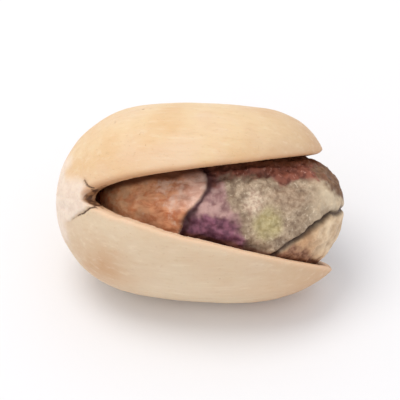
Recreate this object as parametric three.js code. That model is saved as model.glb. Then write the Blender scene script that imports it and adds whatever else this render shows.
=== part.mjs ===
// A pistachio in its split shell, lying on its side, with the kernel showing in the open mouth.
// Millimetres, +Z up. +X runs from the stem end to the tip, and the mouth faces -Y and upwards.
// The origin is under the middle of the nut, on the surface that it rests on.
import * as THREE from "three";
import { mergeVertices } from "three/addons/utils/BufferGeometryUtils.js";

// The whole nut
const SHELL_LENGTH = 20.6; // stem end to tip
const SUTURE_WIDTH = 12.4; // across the shell, in the plane that it split along
const OPEN_HEIGHT = 14.7; // crown of one valve to crown of the other
const MOUTH_TILT = THREE.MathUtils.degToRad(42); // the mouth looks this far above the horizon
const FLAT_DEPTH = 0.55; // how much is worn off the belly where the nut rests

// The shell's wall
const WALL = { stem: 1.3, tip: 0.9, side: 0.8, crown: 1.0 };
const LIP_ROUND = 0.15; // how far the middle of a lip stands out from its two edges
const LIP_ROUND_FROM = 0.45; // the rounding is full where the lip stands this far off the middle
const WIDEST = { at: 0.46, stemPower: 2.4, tipPower: 0.55 }; // share of the length, and roundness
const HIGHEST = { at: 0.6, stemPower: 3.4 };
const KEEL = 1.25; // above 1, the two valves meet in a low keel
const SIDE_FULLNESS = 0.91; // below 1, the sides are a little fuller than an ellipse
const TIP_SWAY = 0.6; // the tip stands this far behind the middle

// The split, as shares of the way round the wall from stem end to tip
const FRONT_START = 0.2;
const BACK_START = 0.45;

// The two valves differ a little: in how far each lip stands off the middle of the mouth at the
// tip, how much shorter the valve is, and how its crown falls to the tip. The smaller a bow is, the
// more bluntly the split starts.
const VALVES = [
  { side: 1, lipStand: 3.95, frontBow: 0.47, backBow: 0.8, shortBy: 1.1, fall: 3, round: 0.667 },
  { side: -1, lipStand: 4.3, frontBow: 0.73, backBow: 0.8, shortBy: 0, fall: 2.3, round: 0.8 },
];

// The kernel
const KERNEL_LENGTH = 17.7;
const KERNEL_WIDTH = 9.6; // in the plane of the split
const KERNEL_HEIGHT = 9.8; // across the split
const KERNEL_BEND = 0.9; // both ends stand this far above the middle
const KERNEL_CENTRE = [12.3, 0.2, -0.9]; // in the shell, from the stem end
const KERNEL_ROUNDNESS = { width: 2.1, stemHeight: 2.2, tipHeight: 3.2 }; // 2 is an ellipse

// Low swellings and wrinkles of the kernel: how high, how many round it, and their twist along it
const SWELLINGS = [
  { height: 0.14, count: 2, twist: 0.45 },
  { height: 0.08, count: 3, twist: -0.8 },
];
const WRINKLES = { height: 0.08, count: 9, sway: 1.6, bends: 0.7 };

// The two sides of the cleft between the seed leaves. Each is a turn from the front of the kernel
// over its top, and swings on by some more towards the tip.
const CLEFT_FRONT = { turn: THREE.MathUtils.degToRad(-50), swing: THREE.MathUtils.degToRad(50) };
const CLEFT_BACK = { turn: THREE.MathUtils.degToRad(120), swing: THREE.MathUtils.degToRad(60) };
const CLEFT_SWINGS_FROM = 0.17; // share of the way from the middle of the kernel to its tip
const CLEFT_WIDTH = 0.5;
const CLEFT_DEPTH = { stem: 0.2, tip: 0.6, end: 0.24 };
const CLEFT_DEEPENS = { from: 0.3, to: 0.95 };
const CLEFT_END = 0.85; // from here on it grows shallow again

// The pale skin at the stem end ends in a step, in one large lobe above the front. It reaches
// to these places along the kernel, from its middle.
const SKIN_STEP = 0.3;
const SKIN_STEP_WIDTH = 0.5;
const SKIN_FRONT = -2.9;
const SKIN_BACK = -6;
const LOBE_REACH = 2;
const LOBE_TURN = THREE.MathUtils.degToRad(30);
const LOBE_NARROWNESS = 11;

// Facets
const SHELL_ROWS = 40;
const VALVE_COLUMNS = 24;
const KERNEL_ROWS = 44;
const KERNEL_COLUMNS = 48;

const clamp01 = (t) => Math.min(1, Math.max(0, t));
const ease = (t) => clamp01(t) ** 2 * (3 - 2 * clamp01(t));
const mix = (a, b, t) => a + (b - a) * t;
const signedPower = (x, power) => Math.sign(x) * Math.abs(x) ** power;

// Share of a length at a share of the way round its wall, so that rows close up at the two ends.
const along = (u) => (1 - Math.cos(Math.PI * u)) / 2;

// Half width of the shell in the plane of the split: 0 at both ends and 1 at the widest place.
function widthShare(t) {
  if (t < WIDEST.at) return (1 - (1 - t / WIDEST.at) ** WIDEST.stemPower) ** 0.5;
  return (1 - clamp01((t - WIDEST.at) / (1 - WIDEST.at)) ** 2) ** WIDEST.tipPower;
}

// Height of a valve's crown above the plane of the split. It rises bluntly from the stem end,
// and at the tip it comes down to the lips.
function crownHeight(t, valve, wall) {
  const full = OPEN_HEIGHT / 2 - wall;
  if (t < HIGHEST.at) return full * (1 - (1 - t / HIGHEST.at) ** HIGHEST.stemPower) ** 0.5;
  const fallen = clamp01((t - HIGHEST.at) / (1 - HIGHEST.at)) ** valve.fall;
  return mix(valve.lipStand, full, (1 - fallen) ** valve.round);
}

// Share of its full stand that a lip has reached, which is 0 up to where the split starts.
function lipShare(t, start, bow) {
  const opened = clamp01((t - along(start)) / (1 - along(start)));
  return opened ** bow;
}

// A point of one valve. u runs from stem end to tip, and v from the front lip over the crown to
// the back lip. depth is 0 on the outside of the wall and 1 on the inside.
function valvePoint(valve, u, v, depth) {
  const t = along(u);
  const turn = Math.PI * v;
  const stem = WALL.stem * depth;
  const tip = SHELL_LENGTH - WALL.tip * depth;
  const width = (SUTURE_WIDTH / 2 - WALL.side * depth) * widthShare(t);
  const front = lipShare(t, FRONT_START, valve.frontBow);
  const back = lipShare(t, BACK_START, valve.backBow);
  const lip = valve.lipStand * mix(front, back, ease(v));
  const crown = crownHeight(t, valve, WALL.crown * depth);
  return new THREE.Vector3(
    mix(stem, tip, t) - valve.shortBy * ease(2 * t - 1),
    TIP_SWAY * t * t - width * signedPower(Math.cos(turn), SIDE_FULLNESS),
    valve.side * mix(lip, crown, Math.sin(turn) ** KEEL),
  );
}

// Three points across the thickness of a lip, from outside to inside.
function lipPoints(valve, u, v) {
  const outer = valvePoint(valve, u, v, 0);
  const inner = valvePoint(valve, u, v, 1);
  const middle = outer.clone().lerp(inner, 0.5);
  middle.z -= valve.side * LIP_ROUND * clamp01(Math.abs(middle.z) / LIP_ROUND_FROM);
  return [outer, middle, inner];
}

// Adds the triangles between the rows of a grid of points to a list, leaving out those that a
// pole or the start of the split closes to nothing.
function addGrid(corners, rows, facesUp) {
  const add = (a, b, c) => {
    const area = b.clone().sub(a).cross(c.clone().sub(a)).length();
    if (area > 1e-7) corners.push(...(facesUp ? [a, b, c] : [a, c, b]));
  };
  for (let i = 1; i < rows.length; i++) {
    for (let j = 1; j < rows[i].length; j++) {
      add(rows[i - 1][j - 1], rows[i][j - 1], rows[i][j]);
      add(rows[i - 1][j - 1], rows[i][j], rows[i - 1][j]);
    }
  }
}

const range = (count) => Array.from({ length: count + 1 }, (_, n) => n / count);

function closedGeometry(corners) {
  const soup = new THREE.BufferGeometry().setFromPoints(corners);
  const geometry = mergeVertices(soup, 1e-3);
  geometry.computeVertexNormals();
  return geometry;
}

// Moves what lies below the surface that the nut rests on up to it, in the shell's own frame.
function wearFlat(corners) {
  const down = new THREE.Vector3(0, Math.sin(MOUTH_TILT), -Math.cos(MOUTH_TILT));
  const lowest = Math.max(...corners.map((p) => p.dot(down)));
  for (const p of new Set(corners)) {
    const below = p.dot(down) - (lowest - FLAT_DEPTH);
    if (below > 0) p.addScaledVector(down, -below);
  }
}

// The shell is one piece: two valves that are joined at the stem end and split from the tip.
function makeShell() {
  const corners = [];
  for (const valve of VALVES) {
    const upper = valve.side > 0;
    for (const depth of [0, 1]) {
      const rows = range(SHELL_ROWS).map((u) =>
        range(VALVE_COLUMNS).map((v) => valvePoint(valve, u, v, depth)),
      );
      addGrid(corners, rows, upper === (depth === 0));
    }
    const lips = [
      { v: 0, start: FRONT_START },
      { v: 1, start: BACK_START },
    ];
    for (const { v, start } of lips) {
      const opened = range(SHELL_ROWS).filter((u) => u > start - 1e-6);
      const rows = opened.map((u) => lipPoints(valve, u, v));
      addGrid(corners, rows, upper === (v === 1));
    }
  }
  wearFlat(corners);
  const material = new THREE.MeshStandardMaterial({
    color: 0xf0d0a2,
    roughness: 0.55,
    metalness: 0,
  });
  const shell = new THREE.Mesh(closedGeometry(corners), material);
  shell.name = "shell";
  return shell;
}

// How deep the cleft is at a point of the kernel. It gapes near the tip and is shallow at the very
// end, where its two sides meet.
function cleftRelief(tipward, radius, turn) {
  const swung = clamp01((tipward - CLEFT_SWINGS_FROM) / (1 - CLEFT_SWINGS_FROM));
  const distances = [CLEFT_FRONT, CLEFT_BACK].map((side) => {
    const off = turn - side.turn - side.swing * swung;
    return Math.cos(off) > 0 ? Math.abs(radius * Math.sin(off)) : radius;
  });
  const { from, to } = CLEFT_DEEPENS;
  const opened = mix(CLEFT_DEPTH.stem, CLEFT_DEPTH.tip, ease((tipward - from) / (to - from)));
  const depth = mix(opened, CLEFT_DEPTH.end, ease((tipward - CLEFT_END) / (1 - CLEFT_END)));
  return depth * Math.exp(-((Math.min(...distances) / CLEFT_WIDTH) ** 2));
}

// How far the kernel's surface stands out at a point of its plain body.
function kernelRelief(x, y, z, turn) {
  const tipward = (2 * x) / KERNEL_LENGTH;
  const body = Math.max(0, 1 - tipward ** 2) ** 0.5;

  const swelling = SWELLINGS.reduce(
    (sum, { height, count, twist }) => sum + height * Math.sin(count * turn + twist * x),
    0,
  );
  const swayed = WRINKLES.count * turn + WRINKLES.sway * Math.sin(WRINKLES.bends * x);
  const wrinkle = WRINKLES.height * Math.sin(swayed);

  const lobe = LOBE_REACH * Math.exp(LOBE_NARROWNESS * (Math.cos(turn - LOBE_TURN) - 1));
  const skinEdge = mix(SKIN_BACK, SKIN_FRONT, ((1 + Math.cos(turn)) / 2) ** 0.5) + lobe;
  const skin = SKIN_STEP * ease((skinEdge - x) / SKIN_STEP_WIDTH + 0.5);

  return (swelling + wrinkle) * body + skin - cleftRelief(tipward, Math.hypot(y, z), turn);
}

// The kernel is blunter in height than in width, and bluntest at its tip.
function kernelPoint(u, v) {
  const tipward = 2 * along(u) - 1;
  const turn = 2 * Math.PI * v;
  const fullness = (power) => Math.max(0, 1 - Math.abs(tipward) ** power) ** 0.5;
  const width = fullness(KERNEL_ROUNDNESS.width);
  const height = fullness(tipward > 0 ? KERNEL_ROUNDNESS.tipHeight : KERNEL_ROUNDNESS.stemHeight);
  const half = new THREE.Vector3(KERNEL_LENGTH, KERNEL_WIDTH, KERNEL_HEIGHT).multiplyScalar(0.5);
  const point = new THREE.Vector3(tipward, -width * Math.cos(turn), height * Math.sin(turn));
  const outward = point.clone().divide(half).normalize();
  point.multiply(half);
  point.addScaledVector(outward, kernelRelief(point.x, point.y, point.z, turn));
  point.z += KERNEL_BEND * tipward ** 2;
  return point;
}

// The kernel is one seed, with its skin on it.
function makeKernel() {
  const corners = [];
  const rows = range(KERNEL_ROWS).map((u) =>
    range(KERNEL_COLUMNS).map((v) => kernelPoint(u, v)),
  );
  addGrid(corners, rows, true);
  const material = new THREE.MeshStandardMaterial({
    color: 0x9a7a5c,
    roughness: 0.7,
    metalness: 0,
  });
  const kernel = new THREE.Mesh(closedGeometry(corners), material);
  kernel.name = "kernel";
  kernel.position.set(...KERNEL_CENTRE);
  return kernel;
}

const nut = new THREE.Group();
nut.add(makeShell(), makeKernel());
nut.rotation.x = -MOUTH_TILT;

const pistachio = new THREE.Group();
pistachio.add(nut);

// The origin goes under the middle of the nut's box.
const box = new THREE.Box3().setFromObject(pistachio, true);
const middle = box.getCenter(new THREE.Vector3());
nut.position.set(-middle.x, -middle.y, -box.min.z);

export default pistachio;
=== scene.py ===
# A pistachio in its split shell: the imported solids, dressed with a finer shell and kernel.
# Lengths are in millimetres in the nut's own frame, where +X runs from the stem end to the tip, the
# split lies in the plane z = 0 and the mouth faces -Y. The nut is turned to lie down at the end.
import math

import bmesh
import bpy
import numpy as np
from mathutils import Matrix, Vector, noise


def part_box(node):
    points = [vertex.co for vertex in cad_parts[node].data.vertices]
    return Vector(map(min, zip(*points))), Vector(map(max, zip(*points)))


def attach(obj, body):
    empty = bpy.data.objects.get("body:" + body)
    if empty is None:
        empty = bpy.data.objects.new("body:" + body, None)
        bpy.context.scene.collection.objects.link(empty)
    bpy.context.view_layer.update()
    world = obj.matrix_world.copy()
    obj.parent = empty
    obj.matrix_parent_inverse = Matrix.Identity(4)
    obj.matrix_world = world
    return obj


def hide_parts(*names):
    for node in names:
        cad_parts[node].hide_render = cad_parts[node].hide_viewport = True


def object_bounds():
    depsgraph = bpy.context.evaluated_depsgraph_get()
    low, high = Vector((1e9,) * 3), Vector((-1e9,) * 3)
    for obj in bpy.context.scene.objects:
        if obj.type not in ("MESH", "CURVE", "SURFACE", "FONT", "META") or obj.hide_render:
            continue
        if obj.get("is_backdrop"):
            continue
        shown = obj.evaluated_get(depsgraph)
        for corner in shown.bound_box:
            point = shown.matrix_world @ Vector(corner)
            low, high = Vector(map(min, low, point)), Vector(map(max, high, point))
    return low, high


# The shell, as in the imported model
SHELL_LENGTH = 20.6
SUTURE_WIDTH = 12.4
OPEN_HEIGHT = 14.7
MOUTH_TILT = math.radians(42)
FLAT_DEPTH = 0.55
WALL = {"stem": 1.3, "tip": 0.9, "side": 0.8, "crown": 1.0}
WIDEST = {"at": 0.46, "stem_power": 2.4, "tip_power": 0.55}
HIGHEST = {"at": 0.6, "stem_power": 3.4}
KEEL = 1.25
SIDE_FULLNESS = 0.91
TIP_SWAY = 0.6
FRONT_START = 0.2
BACK_START = 0.45
UPPER_VALVE = {
    "side": 1, "stand": 3.95, "bow": 0.47, "back": 0.8, "short": 1.1, "fall": 3.0, "round": 0.667,
}
LOWER_VALVE = {
    "side": -1, "stand": 4.3, "bow": 0.73, "back": 0.8, "short": 0.0, "fall": 2.3, "round": 0.8,
}

# From here to the mesh density, a pair such as "starts": (1.2, 0.6) says where a change starts and
# over what length it goes on, and a layer of noise is a height, a scale, a seed and its octaves.

# The shell's finer shapes
OUTER_LIP_RADIUS = 0.3
INNER_LIP_RADIUS = 0.15
LIP_BULGE = 0.05  # how far the middle of a lip stands out from its two edges
LIP_ROUND_FROM = 0.7  # the rounding is full where the lip stands this far off the middle
TIP_CORNER = 0.4  # radius of the corner that each valve ends in at the tip
SUTURE_GROOVE = {"front": 0.015, "back": 0.07, "width": 0.12, "past_start": 0.1}
PIT = {"x": 0.75, "z": -0.75, "radius": 0.3, "depth": 0.12}
SWELLS = [(0.13, 0.17, 4.4, 1), (0.04, 0.45, 9.1, 2)]
RIBS = [(0.025, 1.0, 5.5, 3)]
RIB_STRETCH = 0.12  # along the shell
RIB_SPREAD = 2.6  # round the shell

# Chips off the front lips, deepest where the lower one is thin, near the start of the split
CHIP_DEPTH = 0.09
CHIP_SHARE = {"lower": 0.25, "upper": 0.3}
CHIPS = {"start": (2.6, 1.5), "deeper": (3.4, 1.2), "shallower": (9, 3), "lean": 0.2}
CHIP_NOISE = [(0.6, 0.8, 3.1, 2), (0.5, 3.1, 6.6, 3)]

# The pale cap at the stem end, which reaches furthest in front, in line with the split
CAP_STEP = 0.07  # it stands this proud
CAP = {"reach": 3.15, "less_above": 0.72, "less_below": 1.2, "edge": 0.14, "middle": -0.2}
CAP_SIDES = (1.1, 1.2)
CAP_NOISE = [(0.12, 1.6, 7.7, 2)]
CAP_AROUND = {"reach": 0.9, "edge": 0.8}
CAP_AROUND_NOISE = [(0.5, 0.6, 2.2, 2)]

# Cracks that run over the cap from the start of the split, as points (x, z) of the front
CRACKS = [
    [(3.7, -0.2), (3.2, -0.45), (2.7, -0.62), (2.3, -0.95), (1.7, -1.2), (1.1, -1.7)],
    [(3.6, 0.4), (3.1, 0.5), (2.8, 0.85), (2.5, 1.0), (2.2, 1.45)],
]
CRACK = {"width": 0.1, "depth": 0.22, "end_share": 0.35, "widens": (1.3, 1.6), "starts": (1.2, 0.6)}
CRACK_NOISE = [(0.1, 1.5, 1.2, 3)]

# The shell's painted and stained places: its rim, a painted highlight on the lip below and painted
# shade on the lip above, a brown spot low beside the stem end, partly painted shadow, and the torn,
# crumbly wall at the start of the split
RIM_WIDTH = 0.32
STAIN_AND_SHADE = {"middle": (3.2, -3.0, -4.6), "radius": 2.6}
TORN = {"ends": (1.1, 1.6), "from_outside": (0.05, 0.3)}
CRUMB_NOISE = [(1.2, 2.4, 5.9, 3)]
LINING_POWER = 3  # above 1, a lip takes on the lining's colour late

# The kernel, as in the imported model
KERNEL_LENGTH = 17.7
KERNEL_WIDTH = 9.6
KERNEL_HEIGHT = 9.8
KERNEL_BEND = 0.9
KERNEL_CENTRE = (12.3, 0.2, -0.9)
KERNEL_ROUNDNESS = {"width": 2.1, "stem_height": 2.2, "tip_height": 3.2}
SWELLINGS = [
    {"height": 0.14, "count": 2, "twist": 0.45},
    {"height": 0.08, "count": 3, "twist": -0.8},
]
CLEFT_FRONT = {"turn": math.radians(-50), "swing": math.radians(50)}
CLEFT_BACK = {"turn": math.radians(120), "swing": math.radians(60)}
CLEFT_SWINGS_FROM = 0.17
CLEFT_DEEPENS = {"from": 0.3, "to": 0.95}
CLEFT_END = 0.85
SKIN_STEP = 0.3
SKIN_FRONT = -2.9
SKIN_BACK = -6.0
LOBE_REACH = 2.0
LOBE_TURN = math.radians(30)
LOBE_NARROWNESS = 11

# The kernel's finer shapes
CLEFT_WIDTH = 0.2
CLEFT_DEPTH = {"stem": 0.15, "tip": 0.6, "end": 0.24}
CLEFT_NOISE = [(0.22, 0.9, 2.5, 3)]
SKIN_EDGE = 0.12
SKIN_EDGE_NOISE = [(0.16, 1.1, 6.3, 3)]
SKIN_CURL = {"height": 0.1, "behind": 0.15, "width": 0.3}
WRINKLE_NOISE = [(1, (0.55, 0.9, 0.9), 8.8, 3)]
PUCKER_NOISE = [(1, 1.3, 0.7, 3)]
BARE_RELIEF = {"wrinkle": 0.16, "pucker": 0.17}
SKIN_RELIEF = {"wrinkle": 0.05, "pucker": 0.06}

# Where the kernel's colours lie. x is counted from its middle, degrees are counted from its front
# over its top, and heights are counted off the shell's lips. "ragged" is how far noise moves them.
PATCH_NOISE = [(1, 0.8, 3.9, 3)]
FRONT_DEGREES = 110
FRONT_FADES = (75, 50)
SPOTS = {
    "worn": {"x": 3.4, "length": 1.15, "degrees": -5, "width": 16},
    "pale": {"x": 2.3, "length": 0.9, "degrees": 14, "width": 13},
    "dull": {"x": 4.9, "length": 1.7, "degrees": 18, "width": 15},
}
PURPLE = {"ends": (0.1, 2.2), "sooner_per_degree": 0.035, "ragged": 0.9}
VIOLET = {"ends": (-11, 28), "ragged": 14}
# A reddish band under the upper lip, partly the skin's own colour and partly painted shade
RED_AND_LIP_SHADE = {"ends": (0.7, 1.15), "wider_per_mm": 0.07, "wider_from": -2, "ragged": 0.7}
# Painted shade on the kernel close under the upper lip and close over the lower lip
UPPER_LIP_SHADE = {"ends": (0.34, 0.45), "wider_on_skin": 0.3, "ragged": 0.15}
LOWER_LIP_SHADE = {"ends": (0.1, 0.35), "share": 0.9, "less_on_skin": 0.8, "ragged": 0.15}
# Painted shade: dark brown over the kernel's upper right towards the tip
BROWN_SHADE = {
    "starts": (8.2, 1.5), "sooner_up": 0.7, "sooner_behind": 1.3, "behind_from": 0.3, "ragged": 0.7,
    "above": (0.2, 0.6), "lower_behind": 0.4,
}
ROSY = {
    "ends": (0.8, 1.2), "lower_per_mm": 0.45, "full_at": 5, "ragged": 0.5, "underside": (40, 15),
}
BELOW_CLEFT = (0, 6)
# painted light on the kernel's far end
LIT_TIP_END = (5.6, 2.2)
# painted light on the skin at the stem end, deep in the mouth
LIT_STEM_END = (-7.6, 3.6)
LOBE = {"ends": (0, 4), "above": (-12, 28)}
CLEFT_DARK = (-0.2, 0.4)
# Painted shade in the kernel's creases, where the wrinkles and puckers dip
CREASE_SHADE = {"middle": 0.5, "wrinkle": 0.5, "pucker": 0.4}
# Painted shadow beside the skin's raised edge, wider above and at a notch near its front
SKIN_EDGE_SHADOW = {"past": 0.2, "width": 0.17, "above": (12, 20), "wider_above": 0.33}
SHADOW_NOTCH = {"degrees": -4, "width": 7, "wider": 0.33}

# Mesh density
SHELL_ROWS = 240
OUTER_COLUMNS = 120
INNER_COLUMNS = 48
LIP_COLUMNS = 8
KERNEL_ROWS = 300
KERNEL_COLUMNS = 320
CLUSTERING = 0.6  # how much closer a valve's columns lie near its lips
WELD_DISTANCE = 2e-6  # metres
DEGENERATE_EDGE = 1e-7  # metres

# Colours, 0 to 255. Two in a list are the ends of a range that noise spreads.
SHELL_COLORS = {
    "cream": (236, 207, 166),
    "warm cloud": (230, 192, 146),
    "rosy cloud": (231, 197, 168),
    # painted shade: the valve that faces down is greyer and darker
    "lower valve shade": (219, 202, 180),
    # painted shade: the shell grows darker towards the tip
    "tip": (206, 166, 128),
    # partly stained and partly painted shadow
    "stain": (204, 156, 112),
    "dark streak": (205, 165, 118),
    "light streak": (246, 228, 200),
    "fleck": (160, 112, 72),
    "pore": (196, 152, 108),
    "cap": (244, 225, 207),
    "cap mottle": (230, 207, 189),
    # painted shade on the rim of the lip above and a painted highlight on the rim of the lip below
    "upper rim shade": (208, 156, 112),
    "lower rim highlight": (243, 203, 168),
    "dark lining": (150, 100, 66),
    "light lining": (196, 150, 108),
    "crack": (104, 70, 48),
}
KERNEL_COLORS = {
    "grey-brown": [(154, 130, 106), (204, 180, 152)],
    "dark grain": (124, 100, 78),
    "light grain": (228, 208, 180),
    "below": [(238, 194, 148), (202, 154, 112)],
    # painted light on the kernel's far end
    "end": [(240, 220, 188), (212, 186, 152)],
    "tan": [(234, 162, 116), (202, 120, 76)],
    "tan mottle": (240, 198, 170),
    # painted light on the skin at the stem end
    "lit tan": [(255, 196, 146), (240, 156, 104)],
    "pink": [(248, 208, 188), (226, 176, 154)],
    # painted shade by the lips
    "lip_shade": (116, 62, 32),
    # painted shade in the creases
    "crease_shade": (84, 58, 46),
    # painted shadow beside the skin's raised edge
    "edge": (64, 26, 28),
    "cleft": (60, 36, 24),
}

# Patches of the kernel's colour, the lowest first. "edge" is the range of the mask over which a
# patch fades in, and "ragged" is how much grain breaks up that edge. "range" is the range of the
# noise over which the first of the two colours gives way to the second.
KERNEL_PATCHES = [
    {
        "mask": "dull", "edge": (0.2, 0.9), "ragged": 0.7, "noise": "fine", "range": (0.35, 0.65),
        "colors": [(186, 160, 134), (150, 122, 98)],
    },
    {
        "mask": "rosy", "edge": (0.15, 0.9), "ragged": 0.8, "noise": "fine", "range": (0.4, 0.6),
        "colors": [(172, 126, 98), (130, 88, 64)],
    },
    {
        "mask": "worn", "edge": (0.2, 0.85), "ragged": 0.7, "noise": "fine", "range": (0.35, 0.65),
        "colors": [(202, 186, 140), (170, 152, 104)],
    },
    {
        "mask": "pale", "edge": (0.25, 0.85), "ragged": 0.7, "noise": "fine", "range": (0.4, 0.65),
        "colors": [(236, 214, 186), (196, 164, 142)],
    },
    {
        "mask": "purple", "edge": (0.15, 0.95), "ragged": 0.6, "noise": "soft",
        "range": (0.32, 0.68), "colors": [(202, 162, 154), (156, 114, 112)],
    },
    {
        "mask": "violet", "edge": (0.15, 0.9), "ragged": 0.55, "noise": "soft",
        "range": (0.32, 0.68), "colors": [(150, 92, 112), (104, 58, 76)],
    },
    # partly the skin's reddish colour and partly painted shade under the upper lip
    {
        "mask": "red_and_lip_shade", "edge": (0.1, 0.95), "ragged": 1.1, "noise": "soft", "range": (0.36, 0.6),
        "colors": [(112, 56, 40), (150, 86, 66)],
        "specks": {"range": (0.56, 0.67), "share": 0.85, "color": (206, 152, 134)},
    },
    # painted shade, dark brown, over the upper right towards the tip
    {
        "mask": "brown", "edge": (0.1, 0.9), "ragged": 1.0, "noise": "soft", "range": (0.3, 0.7),
        "colors": [(140, 104, 74), (104, 70, 46)],
    },
]

# The stage. The camera is at the photograph's viewing angle.
VIEW_AZIMUTH = math.radians(3.5)
VIEW_ELEVATION = math.radians(44)
LENS = 400
SENSOR = 36
CLIP_START = 0.01  # metres
FRAME_SHARE = 0.72  # share of the frame's width that the nut spans
FLOOR_REACH = 1.5  # metres
FLOOR_COLORS = [(0.92, 0.915, 0.93, 1), (0.9, 0.895, 0.915, 1)]
WORLD_COLOR = (0.97, 0.98, 1.0, 1)
WORLD_STRENGTH = 0.84
KEY_DIRECTION = (-0.3, 0.1, 0.95)
KEY_DISTANCE = 0.35  # metres
KEY_SIZE = 0.22  # metres
KEY_POWER = 0.43  # watts
KEY_COLOR = (1.0, 0.955, 0.9)


def clamp01(t):
    return np.clip(t, 0, 1)


def ease(t):
    return clamp01(t) ** 2 * (3 - 2 * clamp01(t))


def mix(a, b, t):
    return a + (b - a) * t


def rise(value, start, length):
    """0 up to the start, then smoothly up to 1 over a length."""
    return ease((value - start) / length)


def fall(value, start, length):
    """1 up to the start, then smoothly down to 0 over a length."""
    return 1 - rise(value, start, length)


def edge_mask(inwards, width):
    """1 inside an edge and 0 outside it, with a soft border of a width."""
    return ease(inwards / width + 0.5)


def bell(distance, width):
    """1 at distance 0, and falling off smoothly to both sides."""
    return np.exp(-((distance / width) ** 2))


def noise_at(points, scale, seed, octaves):
    """Smooth noise between about -1 and 1 at an array of points."""
    shift = Vector((seed, 1.7 * seed, 2.3 * seed))
    flat = points.reshape(-1, 3) * np.asarray(scale)
    values = [noise.fractal(Vector(p) + shift, 1.0, 2.0, octaves) for p in flat]
    return np.array(values).reshape(points.shape[:-1])


def noise_layers(points, layers):
    return sum(height * noise_at(points, *layer) for height, *layer in layers)


# Shell shape

def along(u):
    return (1 - np.cos(np.pi * u)) / 2


def width_share(t):
    widest = WIDEST["at"]
    rising = (1 - clamp01(1 - t / widest) ** WIDEST["stem_power"]) ** 0.5
    falling = (1 - clamp01((t - widest) / (1 - widest)) ** 2) ** WIDEST["tip_power"]
    return np.where(t < widest, rising, falling)


def crown_height(t, valve, wall):
    highest = HIGHEST["at"]
    full = OPEN_HEIGHT / 2 - wall
    rising = full * (1 - clamp01(1 - t / highest) ** HIGHEST["stem_power"]) ** 0.5
    fallen = clamp01((t - highest) / (1 - highest)) ** valve["fall"]
    falling = mix(valve["stand"], full, (1 - fallen) ** valve["round"])
    return np.where(t < highest, rising, falling)


def lip_share(t, start, bow):
    opened = clamp01((t - along(start)) / (1 - along(start)))
    return opened ** bow


def lip_height(valve, x):
    """How far a valve's front lip stands off the middle of the mouth at places along the shell."""
    stretched = SHELL_LENGTH - valve["short"]
    return valve["stand"] * lip_share(clamp01(x / stretched), FRONT_START, valve["bow"])


def lip_chips(t, valve):
    """How far the front lip is chipped away."""
    x = SHELL_LENGTH * t
    thin = rise(x, *CHIPS["deeper"]) * fall(x, *CHIPS["shallower"])
    share = CHIP_SHARE["lower"] + thin if valve is LOWER_VALVE else CHIP_SHARE["upper"]
    points = np.stack([x, 0 * x, 0 * x + valve["side"]], axis=-1)
    ragged = noise_layers(points, CHIP_NOISE) + CHIPS["lean"]
    return CHIP_DEPTH * share * ragged * rise(x, *CHIPS["start"])


def fillet(distance, radius):
    """How far a rounded edge of a radius has turned in at a distance from the edge."""
    share = clamp01(1 - distance / np.maximum(radius, 1e-6))
    return radius * (1 - np.sqrt(1 - share**2))


def valve_grid(valve, u, v, depth):
    """Points of one valve's surface, outside for depth 0 and inside for depth 1, and each point's
    distance from its lip."""
    t = along(u)[:, None]
    turn = np.pi * v[None, :]
    width = (SUTURE_WIDTH / 2 - WALL["side"] * depth) * width_share(t)
    chips = lip_chips(t[:, 0], valve)[:, None]
    front = valve["stand"] * lip_share(t, FRONT_START, valve["bow"]) + chips
    back = valve["stand"] * lip_share(t, BACK_START, valve["back"])
    lip = mix(front, back, ease(v)[None, :]) + fillet(SHELL_LENGTH * (1 - t), TIP_CORNER)
    crown = np.maximum(crown_height(t, valve, WALL["crown"] * depth), lip)
    x = mix(WALL["stem"] * depth, SHELL_LENGTH - WALL["tip"] * depth, t)
    x = x - valve["short"] * ease(2 * t - 1) + 0 * turn
    y = TIP_SWAY * t**2 - width * np.sign(np.cos(turn)) * np.abs(np.cos(turn)) ** SIDE_FULLNESS
    height = mix(lip, crown, np.sin(turn).clip(0) ** KEEL)
    return np.stack([x, y, valve["side"] * height], axis=-1), np.abs(height - lip)


def distance_to_line(x, z, line):
    """Distance from points (x, z) to a line of several points."""
    best = np.full(x.shape, np.inf)
    for (ax, az), (bx, bz) in zip(line, line[1:]):
        dx, dz = bx - ax, bz - az
        share = clamp01(((x - ax) * dx + (z - az) * dz) / (dx * dx + dz * dz))
        best = np.minimum(best, np.hypot(x - ax - share * dx, z - az - share * dz))
    return best


def cap_mask(points):
    """1 on the pale cap round the stem end, which ends at the start of the split."""
    x, y, z = np.moveaxis(points, -1, 0)
    reach = CAP["reach"] - np.where(z > 0, CAP["less_above"] * z, -CAP["less_below"] * z)
    reach = reach + noise_layers(points, CAP_NOISE)
    sharp = edge_mask(reach - x, CAP["edge"]) * fall(np.abs(z - CAP["middle"]), *CAP_SIDES) * (y < 0)
    around = CAP_AROUND["reach"] + noise_layers(points, CAP_AROUND_NOISE) - x
    return np.maximum(sharp, edge_mask(around, CAP_AROUND["edge"]))


def crack_mask(points):
    x, y, z = np.moveaxis(points, -1, 0)
    jitter = noise_layers(points, CRACK_NOISE)
    near = np.min([distance_to_line(x + jitter, z - jitter, line) for line in CRACKS], axis=0)
    width = CRACK["width"] * mix(CRACK["end_share"], 1, rise(x, *CRACK["widens"]))
    return bell(near, width) * (y < 0) * rise(x, *CRACK["starts"])


def stain_and_shade_mask(points):
    """1 on a browner place low beside the stem end, partly stained and partly painted shadow."""
    return bell(np.linalg.norm(points - np.array(STAIN_AND_SHADE["middle"]), axis=-1), STAIN_AND_SHADE["radius"])


def suture_mask(points):
    """1 on the seam where the two valves are still joined."""
    x, y, z = np.moveaxis(points, -1, 0)
    start = SHELL_LENGTH * np.where(y < 0, along(FRONT_START), along(BACK_START))
    return bell(z, SUTURE_GROOVE["width"]) * (x < start + SUTURE_GROOVE["past_start"])


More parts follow.
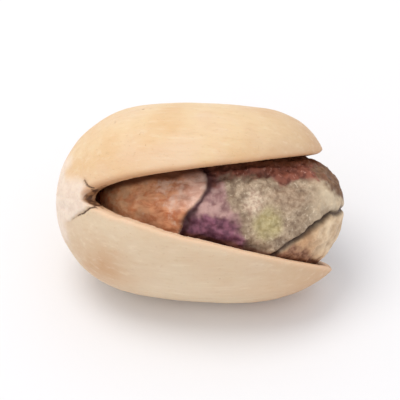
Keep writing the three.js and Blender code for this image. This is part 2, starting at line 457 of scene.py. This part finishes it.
def outer_relief(points, cap, crack):
    """How far the outside of the shell stands out at each point."""
    x, y, z = np.moveaxis(points, -1, 0)
    angle = np.arctan2(z, -y)
    wrapped = [x * RIB_STRETCH, RIB_SPREAD * np.cos(angle), RIB_SPREAD * np.sin(angle)]
    relief = noise_layers(points, SWELLS) + noise_layers(np.stack(wrapped, axis=-1), RIBS)
    pit = PIT["depth"] * bell(np.hypot(x - PIT["x"], z - PIT["z"]), PIT["radius"])
    groove = np.where(y < 0, SUTURE_GROOVE["front"], SUTURE_GROOVE["back"])
    relief += CAP_STEP * cap - pit * (y < 0)
    relief -= CRACK["depth"] * crack + groove * suture_mask(points)
    return relief


def outward(points):
    """Directions out of a plain ovoid of the shell's size."""
    middle = np.array([SHELL_LENGTH / 2, 0, 0])
    half = np.array([SHELL_LENGTH, SUTURE_WIDTH, OPEN_HEIGHT]) / 2
    direction = (points - middle) / half**2
    return direction / np.linalg.norm(direction, axis=-1, keepdims=True)


def clustered(count):
    """Shares from 0 to 1 that lie closer together at both ends."""
    s = np.linspace(0, 1, count + 1)
    return s - CLUSTERING * np.sin(2 * np.pi * s) / (2 * np.pi)


class Surface:
    """Collects grids of points, with values at each point, for one mesh."""

    def __init__(self, value_names):
        self.points = []
        self.faces = []
        self.values = {name: [] for name in value_names}
        self.count = 0

    def add(self, grid, up, **values):
        rows, columns = grid.shape[:2]
        corner = np.arange(rows * columns).reshape(rows, columns) + self.count
        a, b = corner[:-1, :-1].ravel(), corner[1:, :-1].ravel()
        c, d = corner[1:, 1:].ravel(), corner[:-1, 1:].ravel()
        quads = np.stack([a, b, c, d] if up else [a, d, c, b], axis=-1)
        self.points.append(grid.reshape(-1, 3))
        self.faces.append(quads)
        for name, held in self.values.items():
            held.append(np.broadcast_to(values.get(name, 0.0), (rows, columns)).ravel())
        self.count += rows * columns


# A valve's front lip is the first column of its grid, and its back lip is the last.
FRONT = 0
BACK = -1
LIP_STARTS = {FRONT: FRONT_START, BACK: BACK_START}


def lip_half(lip, count):
    """The half of a grid's columns that is nearest to one lip."""
    return slice(None, count // 2) if lip == FRONT else slice(count // 2, None)


def round_lips(outer, outer_gap, inner, inner_gap, inwards, openness):
    """Rounds both edges of each lip, on the outside and the inside of a valve's wall."""
    for lip in LIP_STARTS:
        columns = lip_half(lip, OUTER_COLUMNS)
        turn_in = fillet(outer_gap[:, columns], OUTER_LIP_RADIUS * openness[lip])
        outer[:, columns] += inwards[lip][:, None, :] * turn_in[..., None]
        columns = lip_half(lip, INNER_COLUMNS)
        turn_out = fillet(inner_gap[:, columns], INNER_LIP_RADIUS * openness[lip])
        inner[:, columns] -= inwards[lip][:, None, :] * turn_out[..., None]


def add_lip(surface, valve, lip, outer_edge, inner_edge, openness):
    """The strip between a valve's outside and inside along one lip, torn where the split starts."""
    start = LIP_STARTS[lip]
    first = round(start * SHELL_ROWS)
    openness = openness[first:]
    upper = valve is UPPER_VALVE
    share = np.linspace(0, 1, LIP_COLUMNS + 1)[None, :]
    strip = mix(outer_edge[first:, None], inner_edge[first:, None], share[..., None])
    strip[..., 2] -= valve["side"] * LIP_BULGE * np.sin(np.pi * share) * openness
    torn = fall(strip[..., 0] - SHELL_LENGTH * along(start), *TORN["ends"])
    torn = torn * rise(share, *TORN["from_outside"])
    crumbly = torn * ease(0.5 + noise_layers(strip, CRUMB_NOISE))
    # The strip takes the rim's painted highlight on the lip below and painted shade on the lip above
    surface.add(
        strip, upper == (lip == BACK), rim=openness, lower=float(not upper),
        inside=np.maximum(share**LINING_POWER, torn), cap=cap_mask(strip),
        crack=np.maximum(crack_mask(strip), crumbly),
    )


def add_valve(surface, valve):
    """The outside, the inside and both rounded lips of one valve."""
    upper = valve is UPPER_VALVE
    lower = float(not upper)
    u = np.linspace(0, 1, SHELL_ROWS + 1)
    outer, outer_gap = valve_grid(valve, u, clustered(OUTER_COLUMNS), 0)
    inner, inner_gap = valve_grid(valve, u, clustered(INNER_COLUMNS), 1)

    inwards = {}
    openness = {}
    for lip in LIP_STARTS:
        across = inner[:, lip] - outer[:, lip]
        inwards[lip] = across / np.linalg.norm(across, axis=-1, keepdims=True)
        openness[lip] = ease(np.abs(outer[:, lip, 2]) / LIP_ROUND_FROM)[:, None]

    cap = cap_mask(outer)
    crack = crack_mask(outer)
    outer = outer + outward(outer) * outer_relief(outer, cap, crack)[..., None]
    round_lips(outer, outer_gap, inner, inner_gap, inwards, openness)

    nearer_front = np.arange(OUTER_COLUMNS + 1) < OUTER_COLUMNS // 2
    # The rim is painted: a highlight along the lip below, shade along the lip above
    rim = bell(outer_gap, RIM_WIDTH) * np.where(nearer_front, openness[FRONT], openness[BACK])
    surface.add(outer, upper, rim=rim, cap=cap, crack=crack, stain=stain_and_shade_mask(outer), lower=lower)
    surface.add(inner, not upper, inside=1.0, lower=lower)
    for lip in LIP_STARTS:
        add_lip(surface, valve, lip, outer[:, lip], inner[:, lip], openness[lip])


def shell_surface():
    surface = Surface(["rim", "inside", "cap", "crack", "stain", "lower"])
    for valve in (UPPER_VALVE, LOWER_VALVE):
        add_valve(surface, valve)
    return surface


# Kernel shape

def kernel_grid():
    """Points of the kernel's plain body, the directions out of it, and where each point lies: from
    -1 at the stem end to 1 at the tip, and its turn from the front over the top."""
    u = np.linspace(0, 1, KERNEL_ROWS + 1)[:, None]
    v = np.linspace(0, 1, KERNEL_COLUMNS + 1)[None, :]
    tipward = 2 * along(u) - 1 + 0 * v
    turn = 2 * np.pi * v + 0 * u
    roundness = KERNEL_ROUNDNESS
    height_power = np.where(tipward > 0, roundness["tip_height"], roundness["stem_height"])
    width = (1 - np.abs(tipward) ** roundness["width"]).clip(0) ** 0.5
    height = (1 - np.abs(tipward) ** height_power).clip(0) ** 0.5
    half = np.array([KERNEL_LENGTH, KERNEL_WIDTH, KERNEL_HEIGHT]) / 2
    point = np.stack([tipward, -width * np.cos(turn), height * np.sin(turn)], axis=-1)
    direction = point / half
    direction /= np.linalg.norm(direction, axis=-1, keepdims=True)
    return point * half, direction, tipward, turn


def cleft_sides(tipward, turn):
    """Turn from each side of the cleft, for the front side and the back side."""
    swung = clamp01((tipward - CLEFT_SWINGS_FROM) / (1 - CLEFT_SWINGS_FROM))
    return [turn - side["turn"] - side["swing"] * swung for side in (CLEFT_FRONT, CLEFT_BACK)]


def cleft_mask(tipward, radius, turn, wander):
    distances = []
    for off in cleft_sides(tipward, turn):
        beside = np.abs(radius * np.sin(off) + wander)
        distances.append(np.where(np.cos(off) > 0, beside, np.maximum(radius, beside)))
    return bell(np.minimum(*distances), CLEFT_WIDTH)


def cleft_depth(tipward):
    """The cleft gapes towards the tip and grows shallow again at the very end."""
    gaping = rise(tipward, CLEFT_DEEPENS["from"], CLEFT_DEEPENS["to"] - CLEFT_DEEPENS["from"])
    depth = mix(CLEFT_DEPTH["stem"], CLEFT_DEPTH["tip"], gaping)
    return mix(depth, CLEFT_DEPTH["end"], rise(tipward, CLEFT_END, 1 - CLEFT_END))


def skin_reach(turn):
    """How far along the kernel the pale skin reaches."""
    lobe = LOBE_REACH * np.exp(LOBE_NARROWNESS * (np.cos(turn - LOBE_TURN) - 1))
    return mix(SKIN_BACK, SKIN_FRONT, ((1 + np.cos(turn)) / 2) ** 0.5) + lobe


def signed_degrees(turn):
    return np.degrees(np.arctan2(np.sin(turn), np.cos(turn)))


def skin_masks(x, degrees, reach, skin):
    """The skin, its stem end's painted light, its pink lobe and the painted shadow beside its edge."""
    # A painted shadow beside the skin's edge, wider above and at a notch
    shadow_width = SKIN_EDGE_SHADOW["width"] + SKIN_EDGE_SHADOW["wider_above"] * rise(degrees, *SKIN_EDGE_SHADOW["above"])
    notch = bell(degrees - SHADOW_NOTCH["degrees"], SHADOW_NOTCH["width"])
    shadow_width = shadow_width + SHADOW_NOTCH["wider"] * notch
    return {
        "skin": skin,
        # painted light on the skin at the stem end
        "stem": fall(x, *LIT_STEM_END),
        "lobe": fall(reach, *LOBE["ends"]) * rise(degrees, *LOBE["above"]),
        # painted shadow beside the skin's edge
        "edge": bell(reach + SKIN_EDGE_SHADOW["past"], shadow_width),
    }


def patch_masks(point, tipward, turn, skin):
    """The patches of colour that lie by place: along the kernel, round it and beside the lips."""
    x, y, z = np.moveaxis(point, -1, 0)
    degrees = signed_degrees(turn)
    patchy = noise_layers(point, PATCH_NOISE)
    in_front = np.abs(degrees) < FRONT_DEGREES
    frontward = fall(np.abs(degrees), *FRONT_FADES)

    slanted = x + PURPLE["sooner_per_degree"] * degrees + PURPLE["ragged"] * patchy
    purple = fall(slanted, *PURPLE["ends"]) * (1 - skin) * in_front
    violet = purple * fall(degrees - VIOLET["ragged"] * patchy, *VIOLET["ends"])

    # Distances from the two lips
    own_x = x + KERNEL_CENTRE[0]
    own_z = z + KERNEL_CENTRE[2] + KERNEL_BEND * tipward**2
    under_lip = lip_height(UPPER_VALVE, own_x) - own_z
    over_lip = own_z + lip_height(LOWER_VALVE, own_x)

    # The reddish band under the upper lip, partly painted shade
    wider = RED_AND_LIP_SHADE["wider_per_mm"] * (x - RED_AND_LIP_SHADE["wider_from"])
    red_and_lip_shade = fall(under_lip - wider + RED_AND_LIP_SHADE["ragged"] * patchy, *RED_AND_LIP_SHADE["ends"]) * in_front * (1 - skin)
    # Painted shade close under the upper lip and close over the lower lip
    wider = UPPER_LIP_SHADE["wider_on_skin"] * skin
    lip_shade = fall(under_lip - wider + UPPER_LIP_SHADE["ragged"] * patchy, *UPPER_LIP_SHADE["ends"])
    low_lip_shade = LOWER_LIP_SHADE["share"] - LOWER_LIP_SHADE["less_on_skin"] * skin
    low_lip_shade = low_lip_shade * fall(over_lip + LOWER_LIP_SHADE["ragged"] * patchy, *LOWER_LIP_SHADE["ends"])

    # Painted shade, dark brown, over the upper right towards the tip
    behind = (y - BROWN_SHADE["behind_from"]).clip(0)
    place = x + BROWN_SHADE["sooner_up"] * z + BROWN_SHADE["sooner_behind"] * behind + BROWN_SHADE["ragged"] * patchy
    brown = rise(place, *BROWN_SHADE["starts"])
    brown = brown * rise(z + BROWN_SHADE["lower_behind"] * y.clip(0), *BROWN_SHADE["above"])

    under_cleft = -signed_degrees(cleft_sides(tipward, turn)[0])
    below = rise(under_cleft, *BELOW_CLEFT) * frontward
    lower = ROSY["lower_per_mm"] * (x - ROSY["full_at"])
    rosy = fall(over_lip + lower + ROSY["ragged"] * patchy, *ROSY["ends"])
    rosy = rosy * np.maximum(below * (tipward > 0), rise(-degrees, *ROSY["underside"]))

    masks = {
        "purple": purple, "violet": violet, "red_and_lip_shade": red_and_lip_shade, "brown": brown, "below": below, "rosy": rosy,
        # Painted shade by the lips, and painted light on the far end
        "lip_shade": np.maximum(lip_shade, low_lip_shade) * in_front, "end": rise(x, *LIT_TIP_END) * frontward,
    }
    for name, spot in SPOTS.items():
        lengthwise = bell(x - spot["x"], spot["length"])
        masks[name] = lengthwise * bell(degrees - spot["degrees"], spot["width"])
    return masks


def kernel_surface():
    """The kernel, with its wrinkles, skin and cleft."""
    point, direction, tipward, turn = kernel_grid()
    x, y, z = np.moveaxis(point, -1, 0)
    body = (1 - tipward**2).clip(0) ** 0.5
    lumps = sum(s["height"] * np.sin(s["count"] * turn + s["twist"] * x) for s in SWELLINGS)
    cleft = cleft_mask(tipward, np.hypot(y, z), turn, noise_layers(point, CLEFT_NOISE))
    reach = skin_reach(turn) + noise_layers(point, SKIN_EDGE_NOISE) - x
    skin = edge_mask(reach, SKIN_EDGE)
    curl = SKIN_CURL["height"] * bell(reach - SKIN_CURL["behind"], SKIN_CURL["width"])

    wrinkle = 1 - 2 * np.abs(noise_layers(point, WRINKLE_NOISE))
    pucker = noise_layers(point, PUCKER_NOISE)
    bare, covered = (
        heights["wrinkle"] * wrinkle + heights["pucker"] * pucker
        for heights in (BARE_RELIEF, SKIN_RELIEF)
    )
    relief = (lumps + mix(bare, covered, skin)) * body
    relief += SKIN_STEP * skin + curl * body - cleft_depth(tipward) * cleft
    placed = point + direction * relief[..., None]
    placed[..., 2] += KERNEL_BEND * tipward**2

    masks = skin_masks(x, signed_degrees(turn), reach, skin) | patch_masks(point, tipward, turn, skin)
    # Painted shade in the creases
    crease_shade = CREASE_SHADE["middle"] - CREASE_SHADE["wrinkle"] * wrinkle - CREASE_SHADE["pucker"] * pucker
    masks["crease_shade"] = clamp01(crease_shade)
    masks["cleft"] = cleft * rise(tipward, *CLEFT_DARK)
    surface = Surface(list(masks))
    surface.add(placed + np.array(KERNEL_CENTRE), True, **masks)
    return surface


# Meshes

def wear_flat(points):
    """Moves what lies below the surface that the nut rests on up to it."""
    down = np.array([0, math.sin(MOUTH_TILT), -math.cos(MOUTH_TILT)])
    below = points @ down
    over = (below - (below.max() - FLAT_DEPTH)).clip(0)
    return points - over[:, None] * down


def make_mesh(name, surface, points, turn, shift):
    """One closed mesh object. Its values become attributes, and "own" is the nut's own frame."""
    mesh = bpy.data.meshes.new(name)
    lying = points @ np.array(turn).T + shift
    mesh.from_pydata((lying / 1000).tolist(), [], np.concatenate(surface.faces).tolist())
    own = mesh.attributes.new("own", "FLOAT_VECTOR", "POINT")
    own.data.foreach_set("vector", points.ravel().astype(np.float32))
    for value_name, held in surface.values.items():
        attribute = mesh.attributes.new(value_name, "FLOAT", "POINT")
        attribute.data.foreach_set("value", np.concatenate(held).astype(np.float32))
    shape = bmesh.new()
    shape.from_mesh(mesh)
    bmesh.ops.remove_doubles(shape, verts=shape.verts, dist=WELD_DISTANCE)
    bmesh.ops.dissolve_degenerate(shape, edges=shape.edges, dist=DEGENERATE_EDGE)
    for face in shape.faces:
        face.smooth = True
    shape.to_mesh(mesh)
    shape.free()
    thing = bpy.data.objects.new(name, mesh)
    bpy.context.scene.collection.objects.link(thing)
    return thing


# Materials

def srgb(red_and_lip_shade, green, blue):
    """A colour as the eye reads it, 0 to 255, as linear light."""
    parts = [c / 255 for c in (red_and_lip_shade, green, blue)]
    return tuple(c / 12.92 if c <= 0.04045 else ((c + 0.055) / 1.055) ** 2.4 for c in parts) + (1.0,)


class Paint:
    """Builds the nodes of one material."""

    def __init__(self, name):
        self.material = bpy.data.materials.new(name)
        self.material.use_nodes = True
        self.tree = self.material.node_tree
        self.shader = self.tree.nodes["Principled BSDF"]

    def node(self, kind, inputs=(), **settings):
        made = self.tree.nodes.new(kind)
        for key, value in settings.items():
            setattr(made, key, value)
        for key, value in dict(inputs).items():
            self.put(made.inputs[key], value)
        return made

    def put(self, socket, value):
        if isinstance(value, bpy.types.NodeSocket):
            self.tree.links.new(value, socket)
        else:
            socket.default_value = value

    def attribute(self, name):
        return self.node("ShaderNodeAttribute", attribute_name=name).outputs["Fac"]

    def own(self, scale=(1, 1, 1)):
        place = self.node("ShaderNodeAttribute", attribute_name="own").outputs["Vector"]
        inputs = {"Vector": place, "Scale": scale}
        return self.node("ShaderNodeMapping", inputs).outputs["Vector"]

    def noise(self, place, scale, detail=3.0, roughness=0.55, distortion=0.0):
        inputs = {"Vector": place, "Scale": scale, "Detail": detail}
        inputs.update({"Roughness": roughness, "Distortion": distortion})
        return self.node("ShaderNodeTexNoise", inputs).outputs["Fac"]

    def math(self, operation, a, b):
        return self.node("ShaderNodeMath", {0: a, 1: b}, operation=operation).outputs[0]

    def times(self, a, b):
        return self.math("MULTIPLY", a, b)

    def between(self, value, low, high, to_low=0.0, to_high=1.0):
        """A value's range from low to high, eased to another range."""
        inputs = {"Value": value, "From Min": low, "From Max": high}
        inputs.update({"To Min": to_low, "To Max": to_high})
        made = self.node("ShaderNodeMapRange", inputs, interpolation_type="SMOOTHSTEP")
        return made.outputs["Result"]

    def mix(self, share, a, b):
        made = self.node("ShaderNodeMix", data_type="RGBA")
        self.put(made.inputs[0], share)
        self.put(made.inputs[6], a)
        self.put(made.inputs[7], b)
        return made.outputs[2]

    def two_tone(self, value, low, high, colors):
        """Two colours, spread by a value's range from low to high."""
        return self.mix(self.between(value, low, high), srgb(*colors[0]), srgb(*colors[1]))

    def bump(self, height, strength, distance, normal=None):
        inputs = {"Height": height, "Strength": strength, "Distance": distance / 1000}
        if normal:
            inputs["Normal"] = normal
        return self.node("ShaderNodeBump", inputs).outputs["Normal"]


def shell_material():
    """Dry woody shell: cream with warmer clouds, faint lengthwise streaks and a few flecks."""
    paint = Paint("shell")
    tint = {name: srgb(*color) for name, color in SHELL_COLORS.items()}
    own = paint.own()
    lower = paint.attribute("lower")

    # Clouds, and the tints of places, some of them painted shade
    clouds = paint.noise(own, scale=0.22)
    color = paint.mix(paint.between(clouds, 0.35, 0.68), tint["cream"], tint["warm cloud"])
    rosy = paint.noise(own, scale=0.16, detail=2.0, distortion=0.4)
    color = paint.mix(paint.between(rosy, 0.48, 0.7, to_high=0.5), color, tint["rosy cloud"])
    # Painted shade: the valve that faces down is tinted greyer and darker
    color = paint.mix(paint.times(lower, 0.55), color, tint["lower valve shade"])
    along_shell = paint.node("ShaderNodeSeparateXYZ", {0: own}).outputs[0]
    # Painted shade: the shell is tinted darker towards the tip
    tipward = paint.between(paint.math("ADD", along_shell, paint.times(clouds, 6.0)), 14.0, 25.0)
    color = paint.mix(paint.times(tipward, 0.85), color, tint["tip"])
    # A browner place low beside the stem end, partly stained and partly painted shadow
    stain = paint.times(paint.attribute("stain"), paint.between(clouds, 0.3, 0.6, 0.4, 0.9))
    color = paint.mix(stain, color, tint["stain"])

    # Streaks, flecks and pores
    streaks = paint.noise(paint.own((0.16, 1.0, 1.0)), scale=2.6, detail=4.0, roughness=0.6)
    color = paint.mix(paint.between(streaks, 0.52, 0.8, to_high=0.25), color, tint["dark streak"])
    color = paint.mix(paint.between(streaks, 0.48, 0.25, to_high=0.3), color, tint["light streak"])
    flecks = paint.noise(own, scale=3.2, detail=2.0, roughness=0.4)
    sparse = paint.between(paint.noise(own, scale=0.5, detail=1.0), 0.55, 0.7)
    fleck = paint.times(paint.between(flecks, 0.68, 0.76), sparse)
    color = paint.mix(paint.times(fleck, 0.5), color, tint["fleck"])
    pores = paint.noise(paint.own((0.5, 1.0, 1.0)), scale=7.0, detail=1.0, roughness=0.4)
    pores = paint.between(pores, 0.66, 0.74)
    color = paint.mix(paint.times(pores, 0.14), color, tint["pore"])

    # Cap, the rim's painted highlight and shade, lining and cracks
    mottle = paint.between(paint.noise(own, scale=1.7, detail=4.0, roughness=0.65), 0.4, 0.75)
    cap_color = paint.mix(mottle, tint["cap"], tint["cap mottle"])
    color = paint.mix(paint.times(paint.attribute("cap"), 0.85), color, cap_color)
    # Painted highlight on the rim of the lip below, painted shade on the rim of the lip above
    rim_light_and_shade = paint.mix(lower, tint["upper rim shade"], tint["lower rim highlight"])
    color = paint.mix(paint.times(paint.attribute("rim"), 0.75), color, rim_light_and_shade)
    lining_noise = paint.noise(own, scale=1.4, detail=4.0)
    lining = paint.mix(lining_noise, tint["dark lining"], tint["light lining"])
    color = paint.mix(paint.attribute("inside"), color, lining)
    color = paint.mix(paint.between(paint.attribute("crack"), 0.2, 1.0), color, tint["crack"])
    paint.put(paint.shader.inputs["Base Color"], color)

    paint.put(paint.shader.inputs["Roughness"], paint.between(streaks, 0.2, 0.8, 0.42, 0.6))
    paint.shader.inputs["Specular IOR Level"].default_value = 0.4
    paint.shader.inputs["Subsurface Weight"].default_value = 0.08
    paint.shader.inputs["Subsurface Radius"].default_value = (1.0, 0.6, 0.35)
    paint.shader.inputs["Subsurface Scale"].default_value = 0.0008

    grit = paint.noise(own, scale=5.0, detail=4.0, roughness=0.65)
    normal = paint.bump(streaks, strength=0.5, distance=0.09)
    normal = paint.bump(grit, 0.5, 0.05, normal)
    normal = paint.bump(pores, 0.4, -0.05, normal)
    paint.put(paint.shader.inputs["Normal"], normal)
    return paint.material


def kernel_material():
    """Seed skin: tan at the stem end, purple beside it, then grey-green, with a worn green spot."""
    paint = Paint("kernel")
    tint = KERNEL_COLORS
    own = paint.own()
    grain = paint.noise(own, scale=1.1, detail=4.0, roughness=0.6)
    fine = paint.noise(own, scale=3.4, detail=5.0, roughness=0.65)
    soft = paint.noise(own, scale=2.0, detail=2.0, roughness=0.5)
    streaked = paint.own((0.35, 1.0, 1.0))
    streaks = paint.noise(streaked, scale=1.9, detail=4.0, roughness=0.6, distortion=0.6)
    noises = {"fine": fine, "soft": soft}

    def broken(name, low, high, ragged):
        """A mask whose edge is broken up by the grain."""
        moved = paint.times(paint.math("SUBTRACT", grain, 0.5), ragged)
        return paint.between(paint.math("ADD", paint.attribute(name), moved), low, high)

    # Bare seed, from its grain to the tints below the cleft and the painted light on its far end
    color = paint.two_tone(grain, 0.36, 0.64, tint["grey-brown"])
    color = paint.mix(paint.between(fine, 0.5, 0.7, to_high=0.8), color, srgb(*tint["dark grain"]))
    color = paint.mix(paint.between(fine, 0.45, 0.33, to_high=0.8), color, srgb(*tint["light grain"]))
    below = paint.two_tone(grain, 0.36, 0.64, tint["below"])
    color = paint.mix(paint.attribute("below"), color, below)
    end = paint.two_tone(grain, 0.36, 0.64, tint["end"])
    # Painted light on the far end
    color = paint.mix(paint.times(paint.attribute("end"), 0.7), color, end)

    for patch in KERNEL_PATCHES:
        patch_color = paint.two_tone(noises[patch["noise"]], *patch["range"], patch["colors"])
        if "specks" in patch:
            specks = patch["specks"]
            share = paint.between(fine, *specks["range"], to_high=specks["share"])
            patch_color = paint.mix(share, patch_color, srgb(*specks["color"]))
        color = paint.mix(broken(patch["mask"], *patch["edge"], patch["ragged"]), color, patch_color)

    # The pale skin at the stem end
    tan = paint.two_tone(streaks, 0.38, 0.62, tint["tan"])
    tan = paint.mix(paint.between(grain, 0.48, 0.66, to_high=0.8), tan, srgb(*tint["tan mottle"]))
    # Painted light: the skin is lighter at the stem end
    tan = paint.mix(paint.attribute("stem"), tan, paint.two_tone(streaks, 0.38, 0.62, tint["lit tan"]))
    pink = paint.two_tone(streaks, 0.4, 0.6, tint["pink"])
    tan = paint.mix(broken("lobe", 0.2, 1.1, 0.8), tan, pink)
    color = paint.mix(paint.attribute("skin"), color, tan)

    # Dark places: painted shade by the lips and in the creases, painted shadow beside the skin's edge,
    # and the cleft
    for name, share in (("lip_shade", 0.92), ("crease_shade", 0.35), ("edge", 0.92), ("cleft", 0.9)):
        color = paint.mix(paint.times(paint.attribute(name), share), color, srgb(*tint[name]))
    paint.put(paint.shader.inputs["Base Color"], color)

    paint.put(paint.shader.inputs["Roughness"], paint.between(fine, 0.3, 0.7, 0.5, 0.72))
    paint.shader.inputs["Specular IOR Level"].default_value = 0.4
    normal = paint.bump(streaks, strength=0.5, distance=0.12)
    normal = paint.bump(fine, 0.6, 0.08, normal)
    paint.put(paint.shader.inputs["Normal"], normal)
    return paint.material


def floor_material():
    paint = Paint("floor")
    place = paint.node("ShaderNodeTexCoord").outputs["Object"]
    faint = paint.between(paint.noise(place, scale=3.0, detail=2.0), 0.3, 0.7)
    paint.put(paint.shader.inputs["Base Color"], paint.mix(faint, *FLOOR_COLORS))
    paint.shader.inputs["Roughness"].default_value = 0.9
    paint.shader.inputs["Specular IOR Level"].default_value = 0.1
    return paint.material


# Stage

def add_floor():
    mesh = bpy.data.meshes.new("floor")
    far = FLOOR_REACH
    corners = [(-far, -far, 0), (far, -far, 0), (far, far, 0), (-far, far, 0)]
    mesh.from_pydata(corners, [], [(0, 1, 2, 3)])
    floor = bpy.data.objects.new("floor", mesh)
    bpy.context.scene.collection.objects.link(floor)
    floor.data.materials.append(floor_material())
    floor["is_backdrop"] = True


def add_camera(low, high):
    centre = (Vector(low) + Vector(high)) / 2
    distance = (high[0] - low[0]) / FRAME_SHARE * LENS / SENSOR
    back = Vector((
        math.sin(VIEW_AZIMUTH) * math.cos(VIEW_ELEVATION),
        -math.cos(VIEW_AZIMUTH) * math.cos(VIEW_ELEVATION),
        math.sin(VIEW_ELEVATION),
    ))
    data = bpy.data.cameras.new("camera")
    data.lens = LENS
    data.sensor_width = SENSOR
    data.clip_start = CLIP_START
    camera = bpy.data.objects.new("camera", data)
    camera.location = centre + back * distance
    camera.rotation_euler = (-back).to_track_quat("-Z", "Y").to_euler()
    bpy.context.scene.collection.objects.link(camera)
    bpy.context.scene.camera = camera


def add_key_light():
    data = bpy.data.lights.new("key", "AREA")
    data.shape = "DISK"
    data.size = KEY_SIZE
    data.energy = KEY_POWER
    data.color = KEY_COLOR
    light = bpy.data.objects.new("key", data)
    aim = Vector(KEY_DIRECTION).normalized()
    light.location = aim * KEY_DISTANCE
    light.rotation_euler = (-aim).to_track_quat("-Z", "Y").to_euler()
    bpy.context.scene.collection.objects.link(light)


def add_world():
    world = bpy.data.worlds.new("world")
    world.use_nodes = True
    background = world.node_tree.nodes["Background"]
    background.inputs["Color"].default_value = WORLD_COLOR
    background.inputs["Strength"].default_value = WORLD_STRENGTH
    bpy.context.scene.world = world


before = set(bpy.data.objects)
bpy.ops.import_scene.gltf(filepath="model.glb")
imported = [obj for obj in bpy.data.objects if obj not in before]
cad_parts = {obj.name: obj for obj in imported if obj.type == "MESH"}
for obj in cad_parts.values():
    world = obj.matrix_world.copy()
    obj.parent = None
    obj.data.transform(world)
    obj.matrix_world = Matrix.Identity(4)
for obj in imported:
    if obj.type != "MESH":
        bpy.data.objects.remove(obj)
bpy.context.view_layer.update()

shell = shell_surface()
shell_points = wear_flat(np.concatenate(shell.points))
kernel = kernel_surface()
kernel_points = np.concatenate(kernel.points)

# The turn from the nut's own frame to how it lies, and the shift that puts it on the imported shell
lying_turn = Matrix.Rotation(-MOUTH_TILT, 3, "X")
lying = shell_points @ np.array(lying_turn).T
packed_low, packed_high = (np.array(c) * 1000 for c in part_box("shell"))
shift = np.array([
    packed_low[0],
    (packed_low[1] + packed_high[1] - lying[:, 1].min() - lying[:, 1].max()) / 2,
    -lying[:, 2].min(),
])

shell_piece = make_mesh("shell_woody", shell, shell_points, lying_turn, shift)
shell_piece.data.materials.append(shell_material())
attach(shell_piece, "root")
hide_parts("shell")

kernel_piece = make_mesh("kernel_seed", kernel, kernel_points, lying_turn, shift)
kernel_piece.data.materials.append(kernel_material())
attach(kernel_piece, "root")
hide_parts("kernel")

add_floor()
add_world()
add_key_light()
add_camera(*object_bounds())
bpy.context.scene.view_settings.view_transform = "Standard"
